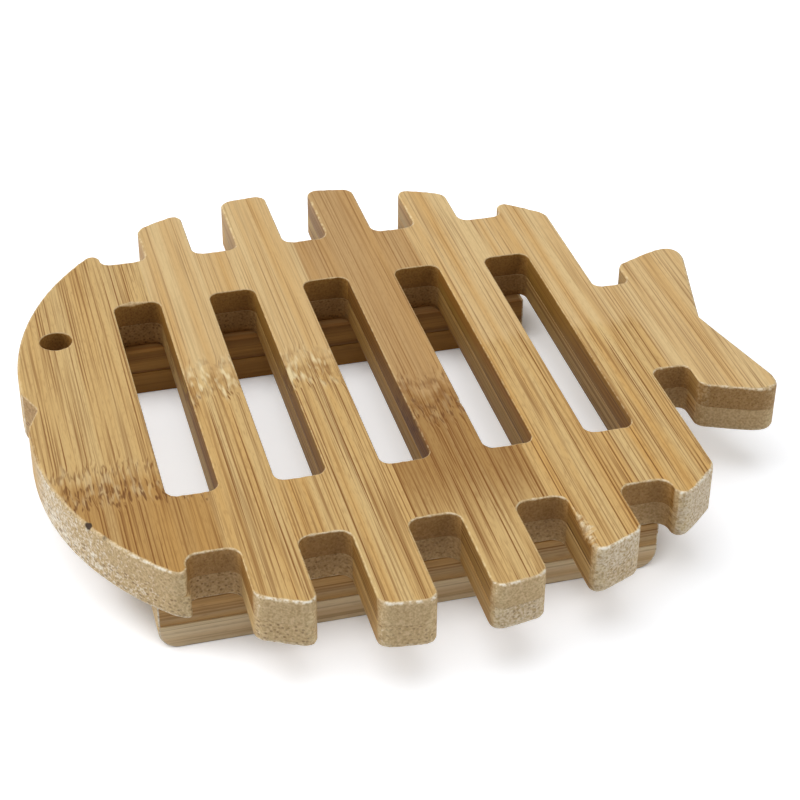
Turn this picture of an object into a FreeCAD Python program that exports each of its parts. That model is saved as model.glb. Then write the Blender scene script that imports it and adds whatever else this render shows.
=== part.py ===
"""Fish-shaped slatted soap dish in strip-laminated bamboo.

A plate of two strip plies, slotted, notched and sanded round its edges, is glued on two runners,
and each runner is two laths. The fibre of the plate runs across the dish, that of the runners along it.
Frame: +Z up, +X from head to tail, +Y across the dish towards the side with the eye. The origin is the
middle of the footprint's box, on the surface that the runners stand on. Lengths are in millimetres.
"""
import FreeCAD, Part
import math
import os

Vector = FreeCAD.Vector

# Bamboo stock
ply_thickness = 4.0
lath_thickness = 4.0

# Slots between the bars, and the notches that continue them at the dish's two edges
slot_count = 5
slot_pitch = 15.5
slot_width = 7.5
slot_corner = 1.7
bridge_width = 13.3
notch_corner = 1.9
tine_corner = 1.2

# Fish outline: its widest place lies girth_lead ahead of the slot pattern's middle, and a tine that
# stood there would be crown_tine_length long
dish_width = 113.3
girth_lead = 2.4
crown_tine_length = 17.35
head_length = 20.7
tail_bar_width = 7.7
rear_corner_width = 76.4
mouth_width = 9.3
mouth_depth = 1.9
lip_corner = 0.9
eye_diameter = 5.0
eye_setback = 5.7
eye_offset = 18.0

# Tail fin: its length and span are those of the sharp tips, before they are rounded
neck_width = 25.4
tail_notch_width = 5.9
tail_notch_corner = 1.4
fin_root_width = 36.8
fin_root_corner = 1.0
fin_length = 13.25
fin_span = 48.0
fork_depth = 6.05
fin_tip_radius = 2.4

# Sanded edges
upper_arris = 0.4
lower_arris = 0.6
runner_arris = 0.5

# Runners under the plate
runner_width = 15.4
runner_lead = 7.9
runner_tail_reach = 3.2
runner_heel = 3.0

# Joints between strips, each measured from the middle of the slot, notch or wall that it lies in
head_joint_offset = 2.4
shoulder_joint_offset = -2.4
middle_joint_offset = 1.5
neck_joint_offset = 0.2
snout_joint_offset = 0.6
gill_joint_offset = -0.5
lower_shoulder_joint_offset = 2.0
lower_middle_joint_offset = -2.4
fin_joint_setback = 2.6

# Places along the dish, from the first slot's middle
last_slot = (slot_count - 1) * slot_pitch
girth = last_slot / 2 - girth_lead
body_end = last_slot + slot_width / 2 + tail_bar_width
fin_root = body_end + tail_notch_width
fin_end = fin_root + fin_length

# Places across the dish, from its middle line
half_width = dish_width / 2
notch_bottom = half_width - crown_tine_length
slot_end = notch_bottom - bridge_width
runner_inner = notch_bottom - runner_width

# Heights
runner_height = 2 * lath_thickness
plate_thickness = 2 * ply_thickness
ply_line = runner_height + ply_thickness
plate_top = runner_height + plate_thickness

# Cutters and splitting boxes run this far past the wood
overrun = dish_width

# Points closer than this are the same place
same_place = 0.01

# Arcs of the outline: the head's meets its front edge square, and the flank's ends at the rear corner
head_radius = girth + head_length
head_rise = half_width - head_radius
flank_run = body_end - girth
flank_fall = half_width - rear_corner_width / 2
flank_radius = (flank_run ** 2 + flank_fall ** 2) / (2 * flank_fall)
flank_rise = half_width - flank_radius


def slot_middle(number):
    """Place of a slot's middle, counted from 1 at the head."""
    return (number - 1) * slot_pitch


def half_width_at(x):
    """Half the body's width at a place along it."""
    if x < girth:
        return head_rise + math.sqrt(head_radius ** 2 - (girth - x) ** 2)
    return flank_rise + math.sqrt(flank_radius ** 2 - (x - girth) ** 2)


def on_outline(x):
    """Point of the body's outline at a place along it."""
    return Vector(x, half_width_at(x), 0)


def head_edge_at(y):
    """Place of the head's front edge at a distance from the middle line."""
    return girth - math.sqrt(head_radius ** 2 - max(0, y - head_rise) ** 2)


def eye_middle():
    """Place of the eye's middle, in from the head's edge beside it."""
    return head_edge_at(eye_offset) + eye_setback


def rounding_centre(corner, before, after, radius):
    """Centre of the arc that rounds a corner between two straight edges."""
    to_before = (before - corner).normalize()
    to_after = (after - corner).normalize()
    half_angle = to_before.getAngle(to_after) / 2
    bisector = (to_before + to_after).normalize()
    return corner + bisector * (radius / math.sin(half_angle))


def prism(edges, bottom, height):
    """Upright solid on a closed outline of edges drawn at height zero."""
    face = Part.Face(Part.Wire(edges))
    face.translate(Vector(0, 0, bottom))
    return face.extrude(Vector(0, 0, height))


def polygon_prism(points, bottom, height):
    """Upright solid on a straight-sided outline."""
    corners = [Vector(x, y, 0) for x, y in points]
    edges = [Part.LineSegment(a, b).toShape() for a, b in zip(corners, corners[1:] + corners[:1])]
    return prism(edges, bottom, height)


def block(x_low, x_high, y_low, y_high, z_low, z_high):
    """Rectangular solid between two corners."""
    return Part.makeBox(x_high - x_low, y_high - y_low, z_high - z_low, Vector(x_low, y_low, z_low))


def mirrored(solid):
    """The same solid on the other side of the dish."""
    return solid.mirror(Vector(0, 0, 0), Vector(0, 1, 0))


def is_upright(edge):
    """True for a straight edge along Z."""
    first, last = edge.firstVertex().Point, edge.lastVertex().Point
    return math.hypot(last.x - first.x, last.y - first.y) < same_place < abs(last.z - first.z)


def is_level(edge, height):
    """True for an edge that lies flat at a height."""
    box = edge.BoundBox
    return max(abs(box.ZMin - height), abs(box.ZMax - height)) < same_place


def at(places):
    """Test that is true at the given places, and at their mirror images across the middle line."""
    return lambda x, y: any(math.hypot(x - there, abs(y) - off) < same_place for there, off in places)


def round_upright_edges(solid, radius, is_wanted):
    """Round the upright edges whose places pass a test."""
    def is_chosen(edge):
        foot = edge.firstVertex().Point
        return is_upright(edge) and is_wanted(foot.x, foot.y)

    return solid.makeFillet(radius, [edge for edge in solid.Edges if is_chosen(edge)])


def body_blank():
    """Body of the fish, from its head to the last bar, as the overlap of two mirrored halves."""
    nose = Vector(-head_length, head_rise, 0)
    nose_below = Vector(-head_length, -overrun, 0)
    crown = on_outline(girth)
    rear_corner = on_outline(body_end)
    rear_below = Vector(body_end, -overrun, 0)
    on_head = on_outline((girth - head_length) / 2)
    on_flank = on_outline((girth + body_end) / 2)
    upper = prism([
        Part.LineSegment(nose_below, nose).toShape(),
        Part.Arc(nose, on_head, crown).toShape(),
        Part.Arc(crown, on_flank, rear_corner).toShape(),
        Part.LineSegment(rear_corner, rear_below).toShape(),
        Part.LineSegment(rear_below, nose_below).toShape(),
    ], runner_height, plate_thickness)
    return upper.common(mirrored(upper))


def tail_blank():
    """Neck and forked fin, started inside the last bar."""
    return polygon_prism([
        (body_end - tail_bar_width, -neck_width / 2),
        (fin_root, -neck_width / 2),
        (fin_root, -fin_root_width / 2),
        (fin_end, -fin_span / 2),
        (fin_end - fork_depth, 0),
        (fin_end, fin_span / 2),
        (fin_root, fin_root_width / 2),
        (fin_root, neck_width / 2),
        (body_end - tail_bar_width, neck_width / 2),
    ], runner_height, plate_thickness)


def mouth_cutter():
    """Shallow wedge in the middle of the head's front edge."""
    spread = mouth_width / 2 / mouth_depth
    tip = -head_length + mouth_depth
    reach = mouth_depth + mouth_width
    return polygon_prism(
        [(tip, 0), (tip - reach, reach * spread), (tip - reach, -reach * spread)],
        runner_height, plate_thickness)


def eye_cutter():
    """Drilled hole, on one side of the head only."""
    foot = Vector(eye_middle(), eye_offset, runner_height)
    return Part.makeCylinder(eye_diameter / 2, plate_thickness, foot)


def slot_cutter(number, y_low, y_high, corner):
    """Rounded slot of the common width across the plate."""
    left = slot_middle(number) - slot_width / 2
    cutter = block(left, left + slot_width, y_low, y_high, runner_height, plate_top)
    return cutter.makeFillet(corner, [edge for edge in cutter.Edges if is_upright(edge)])


def is_on_lip(x, y):
    """True at the two front corners of the mouth."""
    return x < mouth_depth - head_length and same_place < abs(y) < mouth_width / 2 + same_place


def plate():
    """Whole plate, before it is parted into plies and strips."""
    wood = body_blank().fuse(tail_blank()).removeSplitter().cut(mouth_cutter())
    tine_corners = [(body_end, rear_corner_width / 2)]
    for number in range(1, slot_count + 1):
        slot = slot_cutter(number, -slot_end, slot_end, slot_corner)
        notch = slot_cutter(number, notch_bottom, overrun, notch_corner)
        wood = wood.cut([slot, notch, mirrored(notch)])
        for x in (slot_middle(number) - slot_width / 2, slot_middle(number) + slot_width / 2):
            tine_corners.append((x, half_width_at(x)))
    neck_corners = [(body_end, neck_width / 2), (fin_root, neck_width / 2)]
    wood = round_upright_edges(wood, tine_corner, at(tine_corners))
    wood = round_upright_edges(wood, tail_notch_corner, at(neck_corners))
    wood = round_upright_edges(wood, fin_root_corner, at([(fin_root, fin_root_width / 2)]))
    wood = round_upright_edges(wood, fin_tip_radius, at([(fin_end, fin_span / 2)]))
    wood = round_upright_edges(wood, lip_corner, is_on_lip)
    wood = wood.cut(eye_cutter())
    for height, arris in ((plate_top, upper_arris), (runner_height, lower_arris)):
        wood = wood.makeChamfer(arris, [edge for edge in wood.Edges if is_level(edge, height)])
    return wood


def runner():
    """Front runner in one piece, before it is parted into two laths."""
    start, end = -runner_lead, last_slot + runner_tail_reach
    wood = block(start, end, -notch_bottom, -runner_inner, 0, runner_height)
    heels = [edge for edge in wood.Edges if is_level(edge, 0) and edge.BoundBox.XLength < same_place]
    wood = wood.makeFillet(runner_heel, heels)
    sides = [face for face in wood.Faces if face.BoundBox.YLength < same_place]
    rims = [edge for face in sides for edge in face.Edges if not is_level(edge, runner_height)]
    return wood.makeChamfer(runner_arris, rims)


def strips(wood, z_low, z_high, names, joints):
    """One ply of the plate, sawn into named strips at its joints."""
    ends = [-overrun] + joints + [overrun + fin_end]
    return {
        name: wood.common(block(left, right, -overrun, overrun, z_low, z_high))
        for name, left, right in zip(names, ends, ends[1:])
    }


def laths(wood, name):
    """One runner, parted into its two laths."""
    lower_half = block(-overrun, overrun, -overrun, overrun, 0, lath_thickness)
    return {name + "_upper_lath": wood.cut(lower_half), name + "_lower_lath": wood.common(lower_half)}


def dish():
    """Every piece of the dish by its name, with the first slot's middle at x = 0."""
    board = plate()
    front_runner = runner()
    top_names = ["top_head_strip", "top_shoulder_strip", "top_middle_strip", "top_flank_strip",
                 "top_tail_strip"]
    top_joints = [
        slot_middle(1) + head_joint_offset,
        slot_middle(3) + shoulder_joint_offset,
        slot_middle(4) + middle_joint_offset,
        (body_end + fin_root) / 2 + neck_joint_offset,
    ]
    lower_names = ["lower_snout_strip", "lower_gill_strip", "lower_shoulder_strip", "lower_middle_strip",
                   "lower_flank_strip", "lower_tail_strip"]
    lower_joints = [
        (eye_middle() + eye_diameter / 2 - slot_width / 2) / 2 + snout_joint_offset,
        slot_middle(2) + gill_joint_offset,
        slot_middle(3) + lower_shoulder_joint_offset,
        slot_middle(5) + lower_middle_joint_offset,
        fin_root + fin_joint_setback,
    ]
    pieces = strips(board, ply_line, plate_top, top_names, top_joints)
    pieces.update(strips(board, runner_height, ply_line, lower_names, lower_joints))
    pieces.update(laths(front_runner, "front_runner"))
    pieces.update(laths(mirrored(front_runner), "rear_runner"))
    return pieces


def footprint_middle():
    """Middle of the dish's length, from the first slot's middle: the fin's rounded tips reach furthest."""
    tip = rounding_centre(
        Vector(fin_end, fin_span / 2, 0), Vector(fin_root, fin_root_width / 2, 0),
        Vector(fin_end - fork_depth, 0, 0), fin_tip_radius)
    return (tip.x + fin_tip_radius - head_length) / 2


os.makedirs("parts", exist_ok=True)
shift = Vector(-footprint_middle(), 0, 0)
for node, piece in dish().items():
    piece.translate(shift)
    box = piece.BoundBox
    print(f"{node}: {len(piece.Solids)} solid, {piece.Volume:.1f} mm3, valid {piece.isValid()}")
    print(f"    x {box.XMin:.2f} to {box.XMax:.2f}, y {box.YMin:.2f} to {box.YMax:.2f}, "
          f"z {box.ZMin:.2f} to {box.ZMax:.2f}")
    piece.exportStep(f"parts/{node}.step")
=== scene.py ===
"""Bamboo soap dish in the shape of a fish, laid out as an add-on and run as a script.

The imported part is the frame: outlines, joints and heights are read from it, and each of its pieces is built
again as sanded wood with rounded arrises, chips and the grain of the cane it was cut from.
"""

import math
from typing import NamedTuple

import bmesh
import bpy
import numpy as np
from bpy.props import FloatProperty, FloatVectorProperty, PointerProperty
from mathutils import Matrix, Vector, geometry, noise


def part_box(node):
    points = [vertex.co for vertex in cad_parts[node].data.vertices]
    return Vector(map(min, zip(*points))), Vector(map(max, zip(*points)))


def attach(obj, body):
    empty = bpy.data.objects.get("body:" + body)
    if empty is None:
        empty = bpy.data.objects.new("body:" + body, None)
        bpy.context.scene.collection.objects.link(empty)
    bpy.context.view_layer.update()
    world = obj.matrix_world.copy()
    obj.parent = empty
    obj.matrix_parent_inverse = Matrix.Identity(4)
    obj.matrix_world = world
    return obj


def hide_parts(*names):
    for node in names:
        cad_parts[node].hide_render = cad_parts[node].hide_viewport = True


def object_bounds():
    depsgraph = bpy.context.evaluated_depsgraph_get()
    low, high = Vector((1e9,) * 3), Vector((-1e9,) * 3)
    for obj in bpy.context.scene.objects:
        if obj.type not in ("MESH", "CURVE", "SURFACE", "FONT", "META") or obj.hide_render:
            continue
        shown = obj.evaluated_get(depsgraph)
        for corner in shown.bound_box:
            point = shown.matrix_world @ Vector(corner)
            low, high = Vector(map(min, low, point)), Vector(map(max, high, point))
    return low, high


bl_info = {
    "name": "Bamboo Soap Dish",
    "version": (1, 0, 0),
    "blender": (4, 5, 0),
    "location": "View3D > Sidebar > Soap Dish",
    "description": "Builds the sanded bamboo pieces of a fish-shaped soap dish around its packed part",
    "category": "Object",
}

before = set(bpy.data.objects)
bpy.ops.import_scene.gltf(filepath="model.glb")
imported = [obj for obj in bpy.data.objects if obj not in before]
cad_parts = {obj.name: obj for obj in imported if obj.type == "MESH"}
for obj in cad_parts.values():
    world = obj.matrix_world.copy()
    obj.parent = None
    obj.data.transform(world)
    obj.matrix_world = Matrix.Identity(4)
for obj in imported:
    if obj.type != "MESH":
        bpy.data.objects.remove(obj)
cad_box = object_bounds()

MM = 0.001
SAME_PLACE = 0.002 * MM
# Turns at which an outline has a corner, and at which the shading has an edge
SHARP_TURN, SHADE_TURN = math.radians(20), math.radians(34)
# How far up or down a wall may face at most
WALL_RISE = 0.1
# What delaunay_2d_cdt gives back: the triangles inside the outlines
INSIDE_RIM = 1


def linear(hex_colour):
    """Linear red, green, blue and alpha of an sRGB hex colour."""
    shares = [int(hex_colour[at:at + 2], 16) / 255 for at in (1, 3, 5)]
    return [s / 12.92 if s <= 0.04045 else ((s + 0.055) / 1.055) ** 2.4 for s in shares] + [1.0]


def colour(name, description, hex_colour):
    """Colour setting of a property group."""
    return FloatVectorProperty(
        name=name, description=description, default=linear(hex_colour), size=4, min=0, max=1,
        subtype="COLOR")


def length(name, description, default):
    """Length setting of a property group, in metres."""
    return FloatProperty(
        name=name, description=description, default=default, min=0, unit="LENGTH", precision=5)


class SandedEdges(bpy.types.PropertyGroup):
    """Roundings left by the sander and the cutter."""
    top_arris: length("Top arris", "Rounding round the top face", 0.45 * MM)
    routed_arris: length("Routed arris", "Rounding round the slots and notches", 0.22 * MM)
    under_arris: length("Under arris", "Rounding round the underside of the plate", 0.6 * MM)
    under_end: length("Under end", "Further rounding under the cut ends", 0.35 * MM)
    corner_reach: length("Corner reach", "How far along the outline a corner is sanded round", 1.2 * MM)
    fin_reach: length("Fin reach", "How far along the outline the fin's corners are sanded round", 2.4 * MM)
    ply_groove: length("Ply groove", "Rounding of both plies where they meet", 0.06 * MM)
    fin_arris: length("Fin arris", "Rounding of the fin's trailing edge", 0.95 * MM)
    fin_groove: length("Fin groove", "Rounding of both plies at the fin's trailing edge", 0.3 * MM)
    lath_arris: length("Lath arris", "Rounding of the laths' long edges", 0.22 * MM)
    heel: length("Heel", "Rounding of the runners' ends where they meet the table", 3.0 * MM)
    lath_corner: length("Lath corner", "Rounding of the laths' other corners, from the side", 0.25 * MM)
    wear: length("Wear", "How far the arris wanders on end grain", 0.14 * MM)
    step: length("Step", "Spacing of the points along an edge", 0.4 * MM)


class BambooTones(bpy.types.PropertyGroup):
    """Colours of carbonised bamboo; some of them hold painted shade, and the fuzz painted highlight."""
    straw: colour("Straw", "Palest strips", "#D3B684")
    honey: colour("Honey", "Strips of middle tone", "#CDAD75")
    tan: colour("Tan", "Darker strips", "#B69261")
    umber: colour("Umber", "Front of the head strip", "#B28B52")
    russet: colour("Russet", "Middle strip at its knuckle", "#A17C48")
    # The rear runner's dark brown is painted shade, for the shade it lies in under the plate
    sepia_shade: colour("Sepia shade", "Rear runner, dark with painted shade", "#704612")
    # The front runner's upper lath has its own tone, darkened with painted shade from the plate above it
    shaded_drab: colour("Shaded drab", "Front runner's upper lath, darkened with painted shade", "#B8986C")
    oat: colour("Oat", "Front runner's lower lath", "#E8D3AE")
    amber: colour("Amber", "Soft stripes of warmer wood", "#C4934A")
    blond: colour("Blond", "Soft stripes of paler wood", "#DCC089")
    fibre: colour("Fibre", "Fibre bundles along the grain", "#7C4F1D")
    knuckle_dark: colour("Knuckle dark", "Dashes at a joint of the cane", "#683E14")
    pit: colour("Pit", "Small pits on the top arris", "#33210C")
    knuckle_pale: colour("Knuckle pale", "Pale patches at a joint of the cane and worn edges", "#E6D2A4")
    end_grain: colour("End grain", "Pith between the bundles on a cut end", "#D3B88D")
    end_shade: colour("End shade", "Darker pith on a cut end", "#B49768")
    end_bundle: colour("End bundle", "Bundles on a cut end", "#80623C")
    # These three darken the walls that the cutter left: painted shade of slots, notches, the mouth, the eye
    # and the fin, with some of the cut wood's own darker tone
    end_wall_shade: colour("End wall shade", "Painted shade, with some darker cut tone, on cut ends the cutter left", "#C09F5F")
    side_wall_shade: colour("Side wall shade", "Painted shade, with some darker cut tone, on the top ply's long sides the cutter left", "#A68C42")
    lower_side_wall_shade: colour("Lower side wall shade", "Painted shade, with some darker cut tone, on the lower ply's long sides the cutter left", "#C9B684")
    # Fuzz is raised fibre, and on cut ends that face sideways painted highlight too
    fuzz_and_highlight: colour("Fuzz and highlight", "Raised fibre on sanded end grain, and painted highlight on ends that face sideways", "#F1EBDC")


class StageLight(bpy.types.PropertyGroup):
    """Plain studio light, floor and lens."""
    floor_tone: colour("Floor", "Pale floor", "#ECEFF4")
    floor_lift: FloatProperty(name="Floor lift", description="White added to the seen floor", default=0.44)
    floor_shade: length("Floor shade", "How far below the dish the seen floor is shaded", 12.0 * MM)
    sky: FloatProperty(name="Sky", description="Light from all sides", default=0.04)
    top_lamp: FloatProperty(name="Top lamp", description="Light of the lamp above", default=0.60)
    left_lamp: FloatProperty(name="Left lamp", description="Light of the lamp on the left", default=0.55)
    right_lamp: FloatProperty(name="Right lamp", description="Light of the lamp on the right", default=0.28)
    lens: FloatProperty(
        name="Lens", description="Focal length on a 36 mm sensor", default=89.155, unit="CAMERA")


# Place of the knuckle on a strip that has none, far past its end, in millimetres
NO_KNUCKLE = 500.0


class Cane(NamedTuple):
    """How a strip was cut from its cane: a seed for its fibres, its tones before, at and behind the cane's
    knuckle, the strength of its fibre lines in the same places, where the knuckle lies along the fibre and
    how long it is, both in millimetres, its shares of dark dashes, pale patches and brown smudges, from what
    slant its cut ends turn white with raised fibre and painted highlight, how strong the dots on them are,
    how strong its amber and blond stripes are, and how pale the specks on its cut ends are, partly painted
    highlight."""
    seed: int
    tones: tuple = ("honey",) * 3
    lines: tuple = (0.7,) * 3
    knuckle: float = NO_KNUCKLE
    knuckle_length: float = 5.0
    dashes: float = 0.8
    patches: float = 0.5
    smudges: float = 0.4
    fuzz_and_highlight_from: float = 0.9
    dots: float = 0.6
    stripes: float = 1.0
    paleness: float = 0.0


# How white each strip's cut ends turn is raised fibre and partly painted highlight where the side lamps fall
CANES = {
    "top_head_strip": Cane(
        1, ("umber", "umber", "honey"), (0.85, 1.00, 0.90), knuckle=-25.0, knuckle_length=7.0,
        dashes=0.85, patches=0.30, smudges=0.1, fuzz_and_highlight_from=1.00, dots=0.4, stripes=0.6),
    "top_shoulder_strip": Cane(
        2, ("honey", "honey", "straw"), (0.95, 0.95, 0.45), knuckle=-2.0, knuckle_length=7.0,
        dashes=0.3, patches=0.85, smudges=0.3, fuzz_and_highlight_from=0.95, dots=0.2),
    "top_middle_strip": Cane(
        3, ("honey", "russet", "tan"), (0.95, 1.40, 0.60), knuckle=-16.0, knuckle_length=9.0,
        dashes=0.8, patches=0.12, smudges=0.6, fuzz_and_highlight_from=0.95, dots=0.2, stripes=0.35),
    "top_flank_strip": Cane(
        4, ("honey", "honey", "straw"), (0.95, 0.95, 0.55), knuckle=0.0, knuckle_length=0.01,
        dashes=0.0, patches=0.0, smudges=0.0, fuzz_and_highlight_from=0.95, dots=0.25, paleness=0.55),
    "top_tail_strip": Cane(
        5, ("straw",) * 3, (0.6,) * 3, fuzz_and_highlight_from=1.3, dots=0.5, stripes=0.6),
    "lower_snout_strip": Cane(6, fuzz_and_highlight_from=0.92, dots=0.8),
    "lower_gill_strip": Cane(7, ("straw",) * 3, knuckle=14.0, fuzz_and_highlight_from=1.05, dots=0.8),
    "lower_shoulder_strip": Cane(8, ("honey", "honey", "straw")),
    "lower_middle_strip": Cane(9, knuckle=-30.0, paleness=0.35),
    "lower_flank_strip": Cane(10, ("straw", "straw", "honey"), fuzz_and_highlight_from=0.95, dots=0.3, paleness=0.55),
    "lower_tail_strip": Cane(11, ("straw",) * 3, (0.5,) * 3, fuzz_and_highlight_from=1.3, dots=0.2),
    # The front runner's upper lath carries painted shade from the plate above, on top of its own tone
    "front_runner_upper_lath": Cane(12, ("shaded_drab",) * 3, (0.8,) * 3),
    "front_runner_lower_lath": Cane(13, ("oat",) * 3, (0.5,) * 3),
    # The rear runner's laths take the sepia tone, which is painted shade
    "rear_runner_upper_lath": Cane(14, ("sepia_shade",) * 3, (0.8,) * 3),
    "rear_runner_lower_lath": Cane(15, ("sepia_shade",) * 3, (0.5,) * 3),
}


def strips_of(ply):
    """Names of a ply's strips, from head to tail."""
    names = [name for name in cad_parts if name.startswith(ply)]
    return sorted(names, key=lambda name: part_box(name)[0].x)


def joints_of(names):
    """Places of the joints between neighbouring strips."""
    return [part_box(name)[1].x for name in names[:-1]]


def outline_net(names, height):
    """Edges of the ply's outline: where the walls of its strips, but not their joints, meet a height."""
    joints = joints_of(names)
    net = bmesh.new()
    for name in names:
        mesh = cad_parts[name].data
        for face in mesh.polygons:
            corners = [mesh.vertices[index].co for index in face.vertices]
            ends = [corner for corner in corners if abs(corner.z - height) < SAME_PLACE]
            at_joint = any(all(abs(end.x - joint) < SAME_PLACE for end in ends) for joint in joints)
            if abs(face.normal.z) < WALL_RISE and len(ends) == 2 and not at_joint:
                net.edges.new([net.verts.new(end) for end in ends])
    bmesh.ops.remove_doubles(net, verts=net.verts, dist=SAME_PLACE)
    return net


def walked_loops(net):
    """Closed loops of points in the order of their edges."""
    left = set(net.verts)
    loops = []
    while left:
        vert = min(left, key=lambda v: (v.co.x, v.co.y))
        edge = vert.link_edges[0]
        loop = []
        while vert in left:
            left.remove(vert)
            loop.append(vert.co.to_2d())
            vert = edge.other_vert(vert)
            edge = next(other for other in vert.link_edges if other != edge)
        loops.append(np.array(loop))
    return loops


def signed_area(points):
    """Area of a loop, positive where it runs anticlockwise."""
    x, y = points.T
    return 0.5 * float(np.sum(x * np.roll(y, -1) - y * np.roll(x, -1)))


def runs_and_turns(points):
    """Run from each point of a loop to the next, and how far the loop turns there."""
    runs = np.roll(points, -1, axis=0) - points
    headings = np.arctan2(runs[:, 1], runs[:, 0])
    return runs, np.angle(np.exp(1j * (headings - np.roll(headings, 1))))


def evenly_spaced(points, step):
    """The same outline with even steps between its sharp corners, which stay."""
    turns = runs_and_turns(points)[1]
    corners = list(np.flatnonzero(abs(turns) > SHARP_TURN)) or [0]
    spaced = []
    for first, last in zip(corners, corners[1:] + [corners[0] + len(points)]):
        stretch = points[np.arange(first, last + 1) % len(points)]
        reach = np.concatenate([[0], np.cumsum(np.linalg.norm(np.diff(stretch, axis=0), axis=1))])
        count = max(2, round(reach[-1] / step))
        places = np.linspace(0, reach[-1], count, endpoint=False)
        spaced.append(np.stack([np.interp(places, reach, stretch[:, axis]) for axis in (0, 1)], axis=1))
    return np.concatenate(spaced)


def ply_loops(names, height, step):
    """Rim, slots and eye of a ply, each with the wood on its left."""
    loops = [evenly_spaced(loop, step) for loop in walked_loops(outline_net(names, height))]
    loops.sort(key=lambda loop: -abs(signed_area(loop)))
    wanted = [1] + [-1] * (len(loops) - 1)
    return [loop if signed_area(loop) * sign > 0 else loop[::-1] for loop, sign in zip(loops, wanted)]


def outward(points):
    """Directions out of the wood at each point of a loop."""
    along = np.roll(points, -1, axis=0) - np.roll(points, 1, axis=0)
    along /= np.linalg.norm(along, axis=1)[:, None]
    return np.stack([along[:, 1], -along[:, 0]], axis=1)


def evened(values, reach, step):
    """Mean of the values of a loop over a reach to each side."""
    count = round(reach / step)
    return np.mean([np.roll(values, shift, axis=0) for shift in range(-count, count + 1)], axis=0)


# A corner that juts out this far or more is sanded all the way
CORNER_JUT = 0.15 * MM


def sanded_round(points, reach, step):
    """The same outline with its outer corners sanded round over a reach to each side."""
    mean = evened(points, reach, step)
    jutting = np.sum((points - mean) * outward(points), axis=1)
    share = np.clip(jutting / CORNER_JUT, 0, 1)
    return points + share[:, None] * (mean - points)


# Rings of an edge: turns in degrees on the lower arris, from face to wall, and on the upper one, from wall
# to face, each with how worn it is, and shares of the wall's height between them
LOW_TURNS = ((0, 0.3), (45, 1.0), (90, 0.1))
HIGH_TURNS = ((0, 0.1), (22.5, 0.7), (45, 1.0), (67.5, 0.9), (90, 0.3))
WALL_SHARES = (0.25, 0.5, 0.75)
# Width of the ring on a flat face beside its arris
FLAT_RING = 0.1 * MM


def profile(low, high, low_round, high_round, worn_side):
    """Rings of a sanded edge from the lower face to the upper one: how far each lies in from the wall, at
    what level, and how far it is on the worn side's arris."""
    low_worn, high_worn = (worn_side == "low"), (worn_side == "high")
    rings = [(low_round + FLAT_RING, np.full_like(low_round, low), 0.0)]
    for turn, share in LOW_TURNS:
        turn = math.radians(turn)
        inset = low_round * (1 - math.sin(turn))
        rings.append((inset, low + low_round * (1 - math.cos(turn)), share * low_worn))
    for share in WALL_SHARES:
        level = (low + low_round) * (1 - share) + (high - high_round) * share
        rings.append((np.zeros_like(low_round), level, 0.0))
    for turn, share in HIGH_TURNS:
        turn = math.radians(turn)
        inset = high_round * (1 - math.cos(turn))
        rings.append((inset, high - high_round * (1 - math.sin(turn)), share * high_worn))
    rings.append((high_round + FLAT_RING, np.full_like(high_round, high), 0.0))
    return rings


def slab(loops, rings_of, traits_of, place):
    """Closed solid between two flat faces, with its walls lofted through the rings of every loop: the rim
    first, then its holes, which have no hollow in their outline. Each point of a loop gives its traits, such
    as routed, to the points above and below it."""
    solid = bmesh.new()
    arris_layer = solid.verts.layers.float.new("arris")
    layers = {}
    caps = [([], [], [], []), ([], [], [], [])]
    for number, points in enumerate(loops):
        normals = outward(points)
        traits = traits_of(points, normals)
        for trait in traits:
            layers[trait] = solid.verts.layers.float.get(trait) or solid.verts.layers.float.new(trait)
        rings = []
        for inset, level, worn in rings_of(points, normals):
            spots = points - normals * inset[:, None]
            ring = [solid.verts.new(place(a, b, c)) for (a, b), c in zip(spots, level)]
            rings.append((spots, ring))
            for trait, shares in traits.items():
                for vert, share in zip(ring, shares):
                    vert[layers[trait]] = share
            for vert in ring:
                vert[arris_layer] = worn
        for (_, lower), (_, upper) in zip(rings, rings[1:]):
            for at in range(len(points)):
                solid.faces.new((lower[at - 1], lower[at], upper[at], upper[at - 1]))
        for (flat, verts, borders, owners), (spots, ring) in zip(caps, (rings[0], rings[-1])):
            first, count = len(verts), len(ring)
            borders.extend((first + at, first + (at + 1) % count) for at in range(count))
            flat.extend(Vector(spot) / MM for spot in spots)
            verts.extend(ring)
            owners.extend([number] * count)
    for flat, verts, borders, owners in caps:
        for triangle in geometry.delaunay_2d_cdt(flat, borders, [], INSIDE_RIM, SAME_PLACE)[2]:
            corners = {owners[at] for at in triangle}
            in_hole = len(corners) == 1 and corners != {0}
            if not in_hole:
                solid.faces.new([verts[at] for at in triangle])
    bmesh.ops.recalc_face_normals(solid, faces=solid.faces)
    return solid


def sawn(solid, left, right):
    """Copy of the part of a solid between two places along the dish, closed where it is sawn."""
    strip = solid.copy()
    for place, side in ((left, -1), (right, 1)):
        if place is None:
            continue
        everything = strip.verts[:] + strip.edges[:] + strip.faces[:]
        bmesh.ops.bisect_plane(
            strip, geom=everything, dist=SAME_PLACE, plane_co=(place, 0, 0), plane_no=(side, 0, 0),
            clear_outer=True)
        bmesh.ops.holes_fill(strip, edges=[edge for edge in strip.edges if edge.is_boundary], sides=0)
    bmesh.ops.recalc_face_normals(strip, faces=strip.faces)
    return strip


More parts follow.
